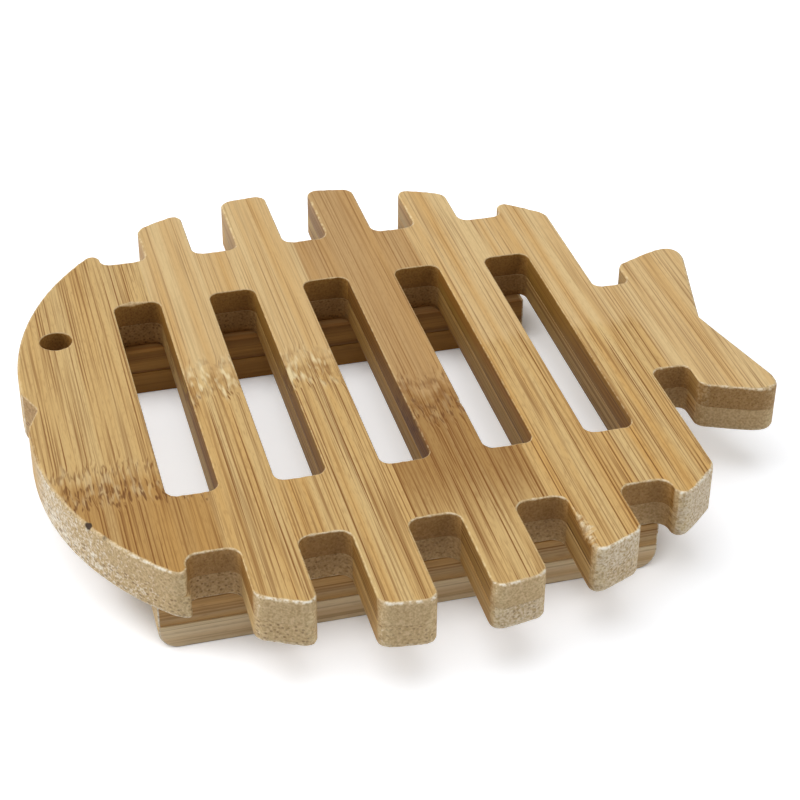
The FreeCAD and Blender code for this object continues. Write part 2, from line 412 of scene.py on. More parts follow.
def finished_piece(solid, node, material):
    """Object made of a solid, which stands for its CAD node and rides on the dish."""
    if not all(edge.is_manifold for edge in solid.edges):
        raise RuntimeError(f"the wood of {node} isn't closed")
    mesh = bpy.data.meshes.new("sanded_" + node)
    solid.to_mesh(mesh)
    solid.free()
    mesh.shade_smooth()
    mesh.set_sharp_from_angle(angle=SHADE_TURN)
    mesh.materials.append(material)
    piece = bpy.data.objects.new("sanded_" + node, mesh)
    bpy.context.scene.collection.objects.link(piece)
    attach(piece, "root")
    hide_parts(node)
    return piece


def bare_tree(owner):
    """Node tree of a new material or world, with nothing in it."""
    owner.use_nodes = True
    owner.node_tree.nodes.clear()
    return owner.node_tree


def add(tree, kind, links=None, **settings):
    """Add a shader node with its settings, its inputs set to constants or linked from nodes or sockets."""
    node = tree.nodes.new("ShaderNode" + kind)
    for setting, value in settings.items():
        setattr(node, setting, value)
    for place, value in (links or {}).items():
        if isinstance(value, bpy.types.Node):
            value = next(output for output in value.outputs if output.enabled)
        if isinstance(value, bpy.types.NodeSocket):
            tree.links.new(value, node.inputs[place])
        else:
            node.inputs[place].default_value = value
    return node


# Sizes of the grain in millimetres, across the fibre, along it and through the thickness, and its detail.
# Pores and raised fibre are finer in real cane: pore and speckle are drawn as coarse as they need to show
GRAIN = {
    "drift": (14.0, 110.0, 14.0, 1),
    "stripe": (3.0, 220.0, 3.0, 2),
    "thread": (0.33, 30.0, 0.33, 2),
    "pore": (0.24, 1.8, 0.24, 1),
    "ragged": (1.3, 900.0, 1.3, 1),
    "dash": (0.30, 2.2, 0.30, 0),
    "patch": (0.75, 3.6, 0.75, 1),
    "smudge": (2.6, 2.2, 2.6, 2),
    "speckle": (0.36, 0.36, 0.36, 2),
    "worn": (1.1, 1.1, 1.1, 1),
}


class Mark(NamedTuple):
    """Mark that comes up out of a grain: between which of its values, and how strong it is at most."""
    grain: str
    start: float
    full: float
    most: float = 1.0


MARKS = {
    "amber": Mark("stripe", 0.40, 0.70, 0.70),
    "blond": Mark("stripe", 0.46, 0.28, 0.50),
    "threads": Mark("thread", 0.47, 0.68, 0.66),
    "pores": Mark("pore", 0.50, 0.78, 0.35),
    "smudges": Mark("smudge", 0.40, 0.66),
    "patches": Mark("patch", 0.50, 0.66),
    "dashes": Mark("dash", 0.52, 0.66),
    "mottle": Mark("speckle", 0.32, 0.66),
}
FIBRE_SLANT = math.radians(0.5)
# How far apart neighbouring canes lie in the grain, in millimetres
CANE_SHIFT = (37.3, 0.0, 11.7)
# Setting of a range that eases in and out, and numbers of a mix node's sockets for colours
EASED = {"interpolation_type": "SMOOTHSTEP"}
FACTOR, MIX_A, MIX_B, MIX_RESULT = 0, 6, 7, 2


def fibre_frame(tree, cane, runs_along):
    """Places in millimetres, with the fibre along Y and a little aslant, apart for each cane."""
    turned = {"Y": (FIBRE_SLANT, 0, 0), "X": (0, FIBRE_SLANT, math.pi / 2)}[runs_along]
    shift = [side * cane.seed for side in CANE_SHIFT]
    spot = add(tree, "TexCoord").outputs["Object"]
    return add(tree, "Mapping", {
        "Vector": spot, "Location": shift, "Rotation": turned, "Scale": (1 / MM, 1 / MM, 1 / MM)})


def wood_grain(tree, fibre):
    """Noises of the grain by name, stretched along the fibre."""
    grain = {}
    for word, (*size, detail) in GRAIN.items():
        stretched = add(tree, "VectorMath", {
            0: fibre, 1: [1 / side for side in size]}, operation="MULTIPLY")
        grain[word] = add(tree, "TexNoise", {"Vector": stretched, "Scale": 1.0, "Detail": detail})
    return grain


def grain_marks(tree, cane, grain):
    """Shares of the marks by name, as strong as the cane has them."""
    strengths = {
        "amber": cane.stripes, "blond": cane.stripes,
        "smudges": cane.smudges, "patches": cane.patches, "dashes": cane.dashes}
    marks = {}
    for word, mark in MARKS.items():
        marks[word] = add(tree, "MapRange", {
            "Value": grain[mark.grain], "From Min": mark.start, "From Max": mark.full,
            "To Max": mark.most * strengths.get(word, 1.0)})
    return marks


# Along the fibre in millimetres: how ragged a knuckle is, where its tone starts and is full before its front
# row, where the tone behind it starts and is full past its middle, and how far back its second row lies
KNUCKLE_RAG = 2.2
TONE_START, TONE_FULL = -32.0, -12.0
BEHIND_START, BEHIND_FULL = -1.0, 3.0
SECOND_ROW = 2.6
# Values of the ragged grain at which the knuckle lies furthest back and furthest forward
RAGGED_BACK, RAGGED_FORWARD = 0.25, 0.75
# Shares of dashes in the three rows, and their reach to each side in millimetres
ROW_SHARES, ROW_REACHES = (1.0, 0.85, 0.6), (0.9, 0.7, 0.8)
# A row fades out at this many times its reach, and the knuckle's clouds over these parts of its length
ROW_FADE = 1.8
CLOUDS_FULL, CLOUDS_END = 0.35, 0.9


class Knuckle(NamedTuple):
    """Shares of a face by its place along the cane: near the knuckle, behind its middle, on one of its rows
    of dashes, and among its clouds of smudges and patches."""
    near: bpy.types.Node
    behind: bpy.types.Node
    rows: bpy.types.Node
    clouds: bpy.types.Node


def cane_knuckle(tree, cane, fibre, grain):
    """Joint of the cane, with a ragged edge and three rows of dashes."""
    along = add(tree, "SeparateXYZ", {0: fibre}).outputs["Y"]
    ragged = add(tree, "MapRange", {
        "Value": grain["ragged"], "From Min": RAGGED_BACK, "From Max": RAGGED_FORWARD,
        "To Min": -cane.knuckle - KNUCKLE_RAG, "To Max": -cane.knuckle + KNUCKLE_RAG})
    place = add(tree, "Math", {0: along, 1: ragged}, operation="ADD")
    near = add(tree, "MapRange", {
        "Value": place, "From Min": TONE_START, "From Max": TONE_FULL}, **EASED)
    middle = add(tree, "Math", {0: place, 1: cane.knuckle_length / 2}, operation="SUBTRACT")
    behind = add(tree, "MapRange", {
        "Value": middle, "From Min": BEHIND_START, "From Max": BEHIND_FULL}, **EASED)
    rows = 0.0
    for row, share, reach in zip((0.0, SECOND_ROW, cane.knuckle_length), ROW_SHARES, ROW_REACHES):
        away = add(tree, "Math", {0: place, 1: row}, operation="SUBTRACT")
        off = add(tree, "Math", {0: away}, operation="ABSOLUTE")
        in_row = add(tree, "MapRange", {
            "Value": off, "From Min": reach, "From Max": ROW_FADE * reach, "To Min": share, "To Max": 0.0},
            **EASED)
        rows = add(tree, "Math", {0: rows, 1: in_row}, operation="MAXIMUM")
    off_middle = add(tree, "Math", {0: middle}, operation="ABSOLUTE")
    clouds = add(tree, "MapRange", {
        "Value": off_middle, "From Min": CLOUDS_FULL * cane.knuckle_length,
        "From Max": CLOUDS_END * cane.knuckle_length, "To Min": 1.0, "To Max": 0.0},
        **EASED)
    return Knuckle(near, behind, rows, clouds)


# Spacing of the bundles in millimetres, across the fibre and through the thickness, by a piece's first word
BUNDLES = {"top": (0.47, 0.62), "lower": (0.80, 0.75), "front": (0.60, 0.62), "rear": (0.60, 0.62)}
# Parts of the spacing where a bundle is full and where it ends, the faintest one's share, and the drift
BUNDLE_CORE, BUNDLE_RIM = 0.15, 0.30
FAINTEST_BUNDLE = 0.35
BUNDLE_DRIFT = 0.9


def fibre_bundles(tree, node, fibre, grain, knuckle):
    """Columns along the fibre, seen as lines or dots, that drift a little, and more at the knuckle."""
    swirl = add(tree, "Math", {
        0: knuckle.clouds, 1: BUNDLE_DRIFT, 2: BUNDLE_DRIFT}, operation="MULTIPLY_ADD")
    drift = add(tree, "VectorMath", {
        0: grain["drift"].outputs["Color"], "Scale": swirl}, operation="SCALE")
    drifted = add(tree, "VectorMath", {0: fibre, 1: drift}, operation="ADD")
    apart = add(tree, "SeparateXYZ", {0: drifted})
    spacing, rise = BUNDLES[node.partition("_")[0]]
    sideways = add(tree, "Math", {0: apart.outputs["X"], 1: spacing}, operation="DIVIDE")
    upwards = add(tree, "Math", {0: apart.outputs["Z"], 1: rise}, operation="DIVIDE")
    section = add(tree, "CombineXYZ", {0: sideways, 1: upwards})
    cells = add(tree, "TexVoronoi", {"Vector": section, "Scale": 1.0}, voronoi_dimensions="2D")
    core = add(tree, "MapRange", {
        "Value": cells, "From Min": BUNDLE_CORE, "From Max": BUNDLE_RIM, "To Min": 1.0, "To Max": 0.0},
        **EASED)
    pick = add(tree, "SeparateColor", {0: cells.outputs["Color"]})
    weight = add(tree, "MapRange", {"Value": pick, "To Min": FAINTEST_BUNDLE, "To Max": 1.0})
    return add(tree, "Math", {0: core, 1: weight}, operation="MULTIPLY")


def long_face(tree, cane, tones, marks, knuckle, bundle):
    """Colour of a face along the fibre: its tones, amber and blond stripes, threads and bundle lines, and
    the knuckle's smudges, patches and dashes."""
    strength_before = add(tree, "MapRange", {
        "Value": knuckle.near, "To Min": cane.lines[0], "To Max": cane.lines[1]})
    strength = add(tree, "MapRange", {
        "Value": knuckle.behind, "To Min": strength_before, "To Max": cane.lines[2]})
    fine = add(tree, "Math", {0: marks["threads"], 1: marks["pores"]}, operation="MAXIMUM")
    streaks = add(tree, "Math", {0: fine, 1: strength}, operation="MULTIPLY")
    lines = add(tree, "Math", {0: bundle, 1: strength}, operation="MULTIPLY")
    smudges = add(tree, "Math", {0: marks["smudges"], 1: knuckle.clouds}, operation="MULTIPLY")
    patches = add(tree, "Math", {0: marks["patches"], 1: knuckle.clouds}, operation="MULTIPLY")
    dashes = add(tree, "Math", {0: marks["dashes"], 1: knuckle.rows}, operation="MULTIPLY")
    face, tone_near, tone_behind = (getattr(tones, tone) for tone in cane.tones)
    for share, tone in (
            (knuckle.near, tone_near), (knuckle.behind, tone_behind), (marks["amber"], tones.amber),
            (marks["blond"], tones.blond), (streaks, tones.fibre), (lines, tones.fibre),
            (smudges, tones.fibre), (patches, tones.knuckle_pale), (dashes, tones.knuckle_dark)):
        layer = add(tree, "Mix", {FACTOR: share, MIX_A: face, MIX_B: tone}, data_type="RGBA")
        face = layer.outputs[MIX_RESULT]
    return face


# Shares of the fine and the coarse crumbs in the white of a sanded end, how far past the cane's slant it
# starts and is full, and its most. The white is raised fibre, with painted highlight on ends that face
# sideways
FINE_WHITE, COARSE_WHITE = 0.9, 0.5
WHITE_START, WHITE_FULL, WHITE_MOST = 0.58, 0.92, 0.9


def cut_end(tree, cane, tones, grain, marks, bundle, slant, sanded):
    """Colour of a cut end: mottled pith, white where it faces sideways, raised fibre with painted highlight,
    and bundle dots.
    """
    # The more an end faces sideways, the whiter it turns: painted highlight where the side lamps fall, on top
    # of raised fibre
    speckled = add(tree, "Math", {
        0: grain["speckle"], 1: FINE_WHITE, 2: slant}, operation="MULTIPLY_ADD")
    uneven = add(tree, "Math", {
        0: grain["worn"], 1: COARSE_WHITE, 2: speckled}, operation="MULTIPLY_ADD")
    white = add(tree, "MapRange", {
        "Value": uneven, "From Min": cane.fuzz_and_highlight_from + WHITE_START,
        "From Max": cane.fuzz_and_highlight_from + WHITE_FULL, "To Max": WHITE_MOST})
    specks = add(tree, "Math", {0: marks["mottle"], 1: cane.paleness}, operation="MULTIPLY")
    whitest = add(tree, "Math", {0: white, 1: specks}, operation="MAXIMUM")
    fuzz_and_highlight_share = add(tree, "Math", {0: whitest, 1: sanded}, operation="MULTIPLY")
    dots = add(tree, "Math", {0: bundle, 1: cane.dots}, operation="MULTIPLY")
    end = tones.end_shade
    for share, tone in ((marks["mottle"], tones.end_grain), (fuzz_and_highlight_share, tones.fuzz_and_highlight), (dots, tones.end_bundle)):
        layer = add(tree, "Mix", {FACTOR: share, MIX_A: end, MIX_B: tone}, data_type="RGBA")
        end = layer.outputs[MIX_RESULT]
    return end


# Share of the fine crumbs on an arris, where the crumbs start and are full, and their least and most
FINE_CRUMBS = 0.7
CRUMBS_START, CRUMBS_FULL = 0.78, 1.00
CRUMBS_LEAST, CRUMBS_MOST = 0.1, 0.85
# Turns towards the fibre at which white crumbs start and are full, and the share at which a pit is all dark
LEANS_FROM, LEANS_FULL = 0.12, 0.4
PIT_FULL = 0.35


def worn_edges(tree, tones, grain, turn, upright, wood):
    """Wear on the wood: crumbs of white fibre on sanded ends, a paler line on other edges, and dark pits."""
    arris, corner, frayed, pit = (
        add(tree, "Attribute", attribute_name=trait).outputs["Fac"]
        for trait in ("arris", "corner", "frayed", "pit"))
    edge = add(tree, "Math", {0: arris, 1: frayed}, operation="MULTIPLY")
    upright_corner = add(tree, "Math", {0: corner, 1: upright}, operation="MULTIPLY")
    rubbed = add(tree, "Math", {0: edge, 1: upright_corner}, operation="MAXIMUM")
    leaning = add(tree, "MapRange", {
        "Value": turn, "From Min": LEANS_FROM, "From Max": LEANS_FULL}, **EASED)
    crumbs = add(tree, "Math", {0: leaning, 1: edge}, operation="MULTIPLY")
    crumbled = add(tree, "Math", {
        0: grain["speckle"], 1: FINE_CRUMBS, 2: grain["worn"]}, operation="MULTIPLY_ADD")
    patchy = add(tree, "MapRange", {
        "Value": crumbled, "From Min": CRUMBS_START, "From Max": CRUMBS_FULL,
        "To Min": CRUMBS_LEAST, "To Max": CRUMBS_MOST})
    raised = add(tree, "Math", {0: rubbed, 1: patchy}, operation="MULTIPLY")
    edge_tone = add(tree, "Mix", {
        FACTOR: crumbs, MIX_A: tones.knuckle_pale, MIX_B: tones.fuzz_and_highlight}, data_type="RGBA")
    pit_arris = add(tree, "Math", {0: pit, 1: arris}, operation="MULTIPLY")
    dark = add(tree, "MapRange", {"Value": pit_arris, "From Max": PIT_FULL})
    for share, tone in ((raised, edge_tone.outputs[MIX_RESULT]), (dark, tones.pit)):
        layer = add(tree, "Mix", {FACTOR: share, MIX_A: wood, MIX_B: tone}, data_type="RGBA")
        wood = layer.outputs[MIX_RESULT]
    return wood


# Turn towards the fibre from which a surface starts to look cut, and where it is all cut
CUT_FROM, CUT_FULL = 0.03, 0.22
# Rise of a surface up to which it counts as upright, and from which it doesn't
UPRIGHT_UP_TO, LEVEL_FROM = 0.3, 0.8
# Share of the cutter's marks that leaves nothing of the sander's
SANDED_NOWHERE = 0.15
# How far bundles are sunk and cut ends are rough against the threads, and the depth and strength of it all
BUNDLE_SINK, END_ROUGHNESS = -0.5, 2.0
RELIEF_DEPTH, RELIEF_STRENGTH = 0.05 * MM, 0.5
# Roughness of the smoothest and the roughest threads, and how the bare wood reflects
SMOOTHEST, ROUGHEST = 0.50, 0.72
WOOD_IOR, WOOD_SPECULAR = 1.5, 0.25


def sanded_bamboo(node, runs_along):
    """Carbonised bamboo, sawn along the cane, glued and sanded: straight brown fibre lines on faces along
    the fibre, broken by the dashes and pale patches of the cane's knuckles, the same bundles as dots on cut
    ends, white raised fibre on the sanded ends and their arrises, with painted highlight on ends that face
    sideways, and a darker, warmer brown where a cutter ran through slots and notches: painted shade, with
    some of the cut's own darker tone."""
    cane = CANES[node]
    tones = bpy.context.scene.soap_dish_tones
    material = bpy.data.materials.new("sanded_bamboo_" + node)
    tree = bare_tree(material)

    fibre = fibre_frame(tree, cane, runs_along)
    grain = wood_grain(tree, fibre)
    marks = grain_marks(tree, cane, grain)
    knuckle = cane_knuckle(tree, cane, fibre, grain)
    bundle = fibre_bundles(tree, node, fibre, grain, knuckle)

    # How far the surface turns towards the fibre, sideways and up
    facing = add(tree, "SeparateXYZ", {0: add(tree, "NewGeometry").outputs["Normal"]})
    turn = add(tree, "Math", {0: facing.outputs[runs_along]}, operation="ABSOLUTE")
    cut = add(tree, "MapRange", {
        "Value": turn, "From Min": CUT_FROM, "From Max": CUT_FULL}, **EASED)
    sideways_on = {"Y": "X", "X": "Y"}[runs_along]
    slant = add(tree, "Math", {0: facing.outputs[sideways_on]}, operation="ABSOLUTE")
    level = add(tree, "Math", {0: facing.outputs["Z"]}, operation="ABSOLUTE")
    upright = add(tree, "MapRange", {
        "Value": level, "From Min": UPRIGHT_UP_TO, "From Max": LEVEL_FROM, "To Min": 1.0, "To Max": 0.0})

    # Faces and ends as the sander left them
    routed = add(tree, "Attribute", attribute_name="routed").outputs["Fac"]
    sanded = add(tree, "MapRange", {
        "Value": routed, "From Max": SANDED_NOWHERE, "To Min": 1.0, "To Max": 0.0})
    face = long_face(tree, cane, tones, marks, knuckle, bundle)
    end = cut_end(tree, cane, tones, grain, marks, bundle, slant, sanded)
    wood = add(tree, "Mix", {FACTOR: cut, MIX_A: face, MIX_B: end}, data_type="RGBA")

    # Painted shade, with some of the cut's own darker tone, on the walls that the cutter left, and the wear
    wall_shade_share = add(tree, "Math", {0: routed, 1: upright}, operation="MULTIPLY")
    long_side = tones.lower_side_wall_shade if node.startswith("lower") else tones.side_wall_shade
    wall_shade_tone = add(tree, "Mix", {
        FACTOR: cut, MIX_A: long_side, MIX_B: tones.end_wall_shade}, data_type="RGBA")
    shaded_wood = add(tree, "Mix", {
        FACTOR: wall_shade_share, MIX_A: wood.outputs[MIX_RESULT], MIX_B: wall_shade_tone.outputs[MIX_RESULT]},
        data_type="RGBA", blend_type="MULTIPLY")
    worn = worn_edges(tree, tones, grain, turn, upright, shaded_wood.outputs[MIX_RESULT])

    # Relief: sunk bundles and threads, and a rougher cut end
    sunk = add(tree, "Math", {0: bundle, 1: BUNDLE_SINK, 2: grain["thread"]}, operation="MULTIPLY_ADD")
    rough_end = add(tree, "Math", {0: grain["speckle"], 1: cut}, operation="MULTIPLY")
    height = add(tree, "Math", {0: rough_end, 1: END_ROUGHNESS, 2: sunk}, operation="MULTIPLY_ADD")
    relief = add(tree, "Bump", {
        "Height": height, "Strength": RELIEF_STRENGTH, "Distance": RELIEF_DEPTH})
    sheen = add(tree, "MapRange", {
        "Value": grain["thread"], "To Min": SMOOTHEST, "To Max": ROUGHEST})
    shader = add(tree, "BsdfPrincipled", {
        "Base Color": worn, "Roughness": sheen, "IOR": WOOD_IOR, "Specular IOR Level": WOOD_SPECULAR,
        "Normal": relief})
    add(tree, "OutputMaterial", {"Surface": shader})
    return material


# Depth of the fin's trailing edge, and how far it takes to come up
FIN_EDGE, FIN_FADE = 6.5 * MM, 3.0 * MM
# Turn of a wall towards the fibre from which it is end grain, and how far it takes to come up
END_GRAIN_FROM, END_GRAIN_FADE = 0.3, 0.4
# Distance between the layers of noise that two seeds take
NOISE_LAYER = 17.0


def fin_share(points):
    """How far each point of an outline lies on the fin's trailing edge, from 0 to 1."""
    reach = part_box("top_tail_strip")[1].x
    share = np.clip((points[:, 0] - (reach - FIN_EDGE)) / FIN_FADE, 0, 1)
    return share * share * (3 - 2 * share)


def end_grain_share(normals):
    """How far each point's wall cuts across the fibre, from 0 to 1."""
    return np.clip((abs(normals[:, 1]) - END_GRAIN_FROM) / END_GRAIN_FADE, 0, 1)


def wander(points, size, seed):
    """Smooth uneven run between -1 and 1 along an outline, with bumps of a size."""
    layer = NOISE_LAYER * seed
    return np.array([noise.noise(Vector((x / size, y / size, layer))) for x, y in points])


class Chip(NamedTuple):
    """Chipped stretch of the top arris: its middle, its reach across and along the fibre, its depth and how
    dark it is."""
    x: float
    y: float
    across: float
    along: float
    depth: float
    dark: float = 0.0


CHIPS = (
    Chip(-36.0 * MM, 26.0 * MM, 2.4 * MM, 1.5 * MM, 0.9 * MM),
    Chip(14.6 * MM, -47.5 * MM, 1.8 * MM, 5.5 * MM, 1.9 * MM),
    Chip(-50.6 * MM, -29.6 * MM, 0.9 * MM, 0.5 * MM, 0.5 * MM, dark=0.9),
    Chip(-48.4 * MM, -32.6 * MM, 0.8 * MM, 0.7 * MM, 0.5 * MM, dark=0.5),
    Chip(-46.6 * MM, -34.9 * MM, 0.7 * MM, 0.6 * MM, 0.5 * MM, dark=0.4),
    Chip(7.2 * MM, -13.7 * MM, 1.2 * MM, 1.2 * MM, 0.6 * MM),
    Chip(-0.9 * MM, -17.0 * MM, 1.0 * MM, 4.0 * MM, 0.5 * MM),
    Chip(8.0 * MM, -25.8 * MM, 0.8 * MM, 0.7 * MM, 0.4 * MM, dark=0.6),
)
# Mean share of a chip's depth, how far it wanders from that, over bumps of what size and with what seed, and
# how many times faster than the chip its dark comes up
CHIP_MEAN, CHIP_WANDER, CHIP_BUMP, CHIP_SEED = 0.65, 0.7, 0.7 * MM, 5
DARK_RISE = 3


def chip_share(chip, points):
    """How far each point lies in a chip, from 0 at its rim to 1 in its middle."""
    far = np.hypot((points[:, 0] - chip.x) / chip.across, (points[:, 1] - chip.y) / chip.along)
    return np.clip(1 - far, 0, 1)


def chip_depth(points):
    """How much deeper the top arris is cut at each point by the chips."""
    rough = CHIP_MEAN + CHIP_WANDER * wander(points, CHIP_BUMP, CHIP_SEED)
    depth = sum(chip.depth * chip_share(chip, points) for chip in CHIPS)
    return np.maximum(depth * rough, 0)


def pit_share(points):
    """How dark each point is from the chips, from 0 to 1."""
    return sum(chip.dark * np.clip(DARK_RISE * chip_share(chip, points), 0, 1) for chip in CHIPS)


class Cutter(NamedTuple):
    """How far a cutter marks the walls, from 0 to 1, by its arris in one table and by painted shade in the
    others: in slots and the eye, in the front and the rear notches, in the mouth and on the fin."""
    slots: float
    front_notches: float
    rear_notches: float
    mouth: float
    fin: float


# How far the cutter's own arris stays, and how far painted shade, with some darker cut tone, browns the walls
# of either ply
EDGE_SHAPE = Cutter(slots=1.0, front_notches=0.8, rear_notches=0.4, mouth=0.6, fin=0.5)
UPPER_WALL_SHADE = Cutter(slots=0.95, front_notches=0.80, rear_notches=0.38, mouth=0.57, fin=0.71)
LOWER_WALL_SHADE = Cutter(slots=0.75, front_notches=0.45, rear_notches=0.30, mouth=0.45, fin=0.19)
# Half widths of the mouth and of the notch at the neck, the mouth's depth, how far a notch's marks reach
# past it, and the least length of a slot
MOUTH_HALF, NECK_HALF, MOUTH_DEPTH = 4.4 * MM, 3.0 * MM, 2.0 * MM
NOTCH_FADE = 0.4 * MM
SLOT_LENGTH = 20 * MM


def is_slot(points):
    """Whether a hole is a slot, which is long along the fibre, and not the eye."""
    return np.ptp(points[:, 1]) > SLOT_LENGTH


def routed_share(points, loops, cutter=EDGE_SHAPE):
    """How far each point lies where a cutter ran and the sander didn't reach, from 0 to 1: in a slot or the
    eye, in the notch in line with a slot, in the neck's notch, on the fin or in the mouth."""
    if points is not loops[0]:
        return np.full(len(points), cutter.slots)
    x, y = points.T
    share = np.zeros(len(points))
    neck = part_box("top_flank_strip")[1].x
    spans = [(slot[:, 0].min(), slot[:, 0].max()) for slot in loops[1:] if is_slot(slot)]
    spans.append((neck - NECK_HALF, neck + NECK_HALF))
    for left, right in spans:
        inside = np.clip(np.minimum(x - left, right - x) / NOTCH_FADE + 1, 0, 1)
        share = np.maximum(share, inside * np.where(y < 0, cutter.front_notches, cutter.rear_notches))
    in_mouth = (abs(y) < MOUTH_HALF) & (x < cad_box[0].x + MOUTH_DEPTH)
    share = np.maximum(share, cutter.mouth * in_mouth)
    return np.maximum(share, cutter.fin * (x > neck + NECK_HALF))


# Where the brow, the round of the head, ends, and how far it takes to come up
BROW_END, BROW_FADE = -45.0 * MM, 4.0 * MM
# How far the long sides of slots are frayed, and how far notches and the brow are spared
SLOT_FRAY, NOTCH_SPARED, BROW_SPARED = 0.35, 0.5, 0.6
# How far a corner is rubbed at most, the radius of a tight one, and how much of its bend is let pass
CORNER_RUB, TIGHT_CORNER, CORNER_LET = 0.6, 1.6 * MM, 0.25


def frayed_share(points, normals, loops):
    """How far each point's arris is frayed, from 0 to 1: most on free ends, less in notches and on the brow,
    and in slots only along the fibre."""
    if points is not loops[0]:
        return SLOT_FRAY * (1 - end_grain_share(normals)) * is_slot(points)
    brow = np.clip((BROW_END - points[:, 0]) / BROW_FADE, 0, 1)
    return (1 - NOTCH_SPARED * routed_share(points, loops)) * (1 - BROW_SPARED * brow)


def corner_share(points):
    """How far each point lies on a tight outer corner, from 0 to 1."""
    runs, turns = runs_and_turns(points)
    bend = turns / np.linalg.norm(runs, axis=1)
    smooth = (np.roll(bend, 1) + bend + np.roll(bend, -1)) / 3
    return CORNER_RUB * np.clip(smooth * TIGHT_CORNER - CORNER_LET, 0, 1)


# Splinter left by the cutter on the gill's corner, and how far it leans out on either ply
GILL_CORNER, BURR_REACH = (-39.4 * MM, -42.8 * MM), 2.0 * MM
UPPER_BURR, LOWER_BURR = (0.1 * MM, -0.5 * MM), (0.8 * MM, -0.7 * MM)


def burred(points, lean):
    """The same outline with the splinter on the gill's corner."""
    far = np.linalg.norm(points - np.array(GILL_CORNER), axis=1)
    share = np.clip(1 - far / BURR_REACH, 0, 1)
    return points + share[:, None] * np.array(lean)


# Sizes of the bumps by which an arris wanders on end grain, with the seed of each on the top ply
WEAR_BUMPS = ((1.3 * MM, 1), (0.6 * MM, 3))


def build_ply(ply, under):
    """All the strips of one ply: sanded on its outer face, and with a fine groove where the plies meet."""
    edges = bpy.context.scene.soap_dish_edges
    names = strips_of(ply)
    low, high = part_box(names[0])[0].z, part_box(names[0])[1].z
    arris = edges.under_arris if under else edges.top_arris
    loops = ply_loops(names, high if under else low, edges.step)
    rim = sanded_round(loops[0], edges.corner_reach, edges.step)
    rounder = sanded_round(rim, edges.fin_reach, edges.step)
    rim = rim + fin_share(rim)[:, None] * (rounder - rim)
    loops[0] = burred(rim, LOWER_BURR if under else UPPER_BURR)

    def rings_of(points, normals):
        fin = fin_share(points)
        routed = routed_share(points, loops)
        rounded = arris * (1 - fin) + edges.fin_arris * fin
        rounded = rounded * (1 - routed) + edges.routed_arris * routed
        ends = end_grain_share(normals)
        torn = edges.wear * ends * sum(wander(points, size, seed + under) for size, seed in WEAR_BUMPS)
        rounded = np.maximum(rounded + torn, edges.ply_groove)
        groove = edges.ply_groove * (1 - fin) + edges.fin_groove * fin
        if under:
            rounded = rounded + edges.under_end * ends * (1 - routed)
            return profile(low, high, evened(rounded, edges.corner_reach, edges.step), groove, "low")
        return profile(low, high, groove, rounded + chip_depth(points), "high")

    def traits_of(points, normals):
        traits = {"corner": corner_share(points), "frayed": frayed_share(points, normals, loops)}
        # The routed trait here is the share of painted shade on the cutter's walls, with some darker cut tone
        traits["routed"] = routed_share(points, loops, LOWER_WALL_SHADE if under else UPPER_WALL_SHADE)
        if not under:
            traits["pit"] = pit_share(points)
        return traits

    whole = slab(loops, rings_of, traits_of, lambda x, y, z: (x, y, z))
    joints = joints_of(names)
    for name, left, right in zip(names, [None] + joints, joints + [None]):
        finished_piece(sawn(whole, left, right), name, sanded_bamboo(name, "Y"))
    whole.free()


# Points round a corner of a lath
CORNER_POINTS = 9


def rounded_rectangle(low, high, foot, top, step):
    """Outline of a lath from its side, anticlockwise, with a rounding at its foot and one at its top."""
    points = []
    for corner_x, corner_z, radius, start in (
            (high[0], low[1], foot, -90), (high[0], high[1], top, 0),
            (low[0], high[1], top, 90), (low[0], low[1], foot, 180)):
        middle = (corner_x - math.copysign(radius, corner_x - (low[0] + high[0]) / 2),
                  corner_z - math.copysign(radius, corner_z - (low[1] + high[1]) / 2))
        for turn in np.radians(np.linspace(start, start + 90, CORNER_POINTS)):
            points.append((middle[0] + radius * math.cos(turn), middle[1] + radius * math.sin(turn)))
    return evenly_spaced(np.array(points), step)


def build_lath(node, foot):
    """One lath of a runner, with its side outline lofted across the lath."""
    edges = bpy.context.scene.soap_dish_edges
    low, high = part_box(node)
    outline = rounded_rectangle((low.x, low.z), (high.x, high.z), foot, edges.lath_corner, edges.step)

    def rings_of(points, normals):
        rounded = np.full(len(points), edges.lath_arris)
        return profile(low.y, high.y, rounded, rounded, "neither")

    def traits_of(points, normals):
        return {}

    solid = slab([outline], rings_of, traits_of, lambda x, z, y: (x, y, z))
    finished_piece(solid, node, sanded_bamboo(node, "X"))


class SOAPDISH_OT_top_ply(bpy.types.Operator):
    """Build the five strips of the top ply"""
    bl_idname = "soap_dish.top_ply"
    bl_label = "Build Top Ply"

    def execute(self, context):
        build_ply("top_", under=False)
        return {"FINISHED"}


class SOAPDISH_OT_lower_ply(bpy.types.Operator):
    """Build the six strips of the lower ply"""
    bl_idname = "soap_dish.lower_ply"
    bl_label = "Build Lower Ply"

    def execute(self, context):
        build_ply("lower_", under=True)
        return {"FINISHED"}


class SOAPDISH_OT_runners(bpy.types.Operator):
    """Build the four laths of the two runners"""
    bl_idname = "soap_dish.runners"
    bl_label = "Build Runners"

    def execute(self, context):
        edges = context.scene.soap_dish_edges
        for side in ("front", "rear"):
            build_lath(side + "_runner_upper_lath", edges.lath_corner)
            build_lath(side + "_runner_lower_lath", edges.heel)
        return {"FINISHED"}


def shown_rays(tree):
    """One for rays that the eye follows, straight or by a reflection, and zero for the scene's light."""
    path = add(tree, "LightPath")
    mirrored = add(tree, "Math", {
        0: path.outputs["Is Glossy Ray"], 1: path.outputs["Is Transmission Ray"]}, operation="MAXIMUM")
    return add(tree, "Math", {0: path.outputs["Is Camera Ray"], 1: mirrored}, operation="MAXIMUM")


# Shares of the sky over the floor at which its shade is deepest, and at which it ends
COVERED_SKY, FREE_SKY = 0.25, 0.50


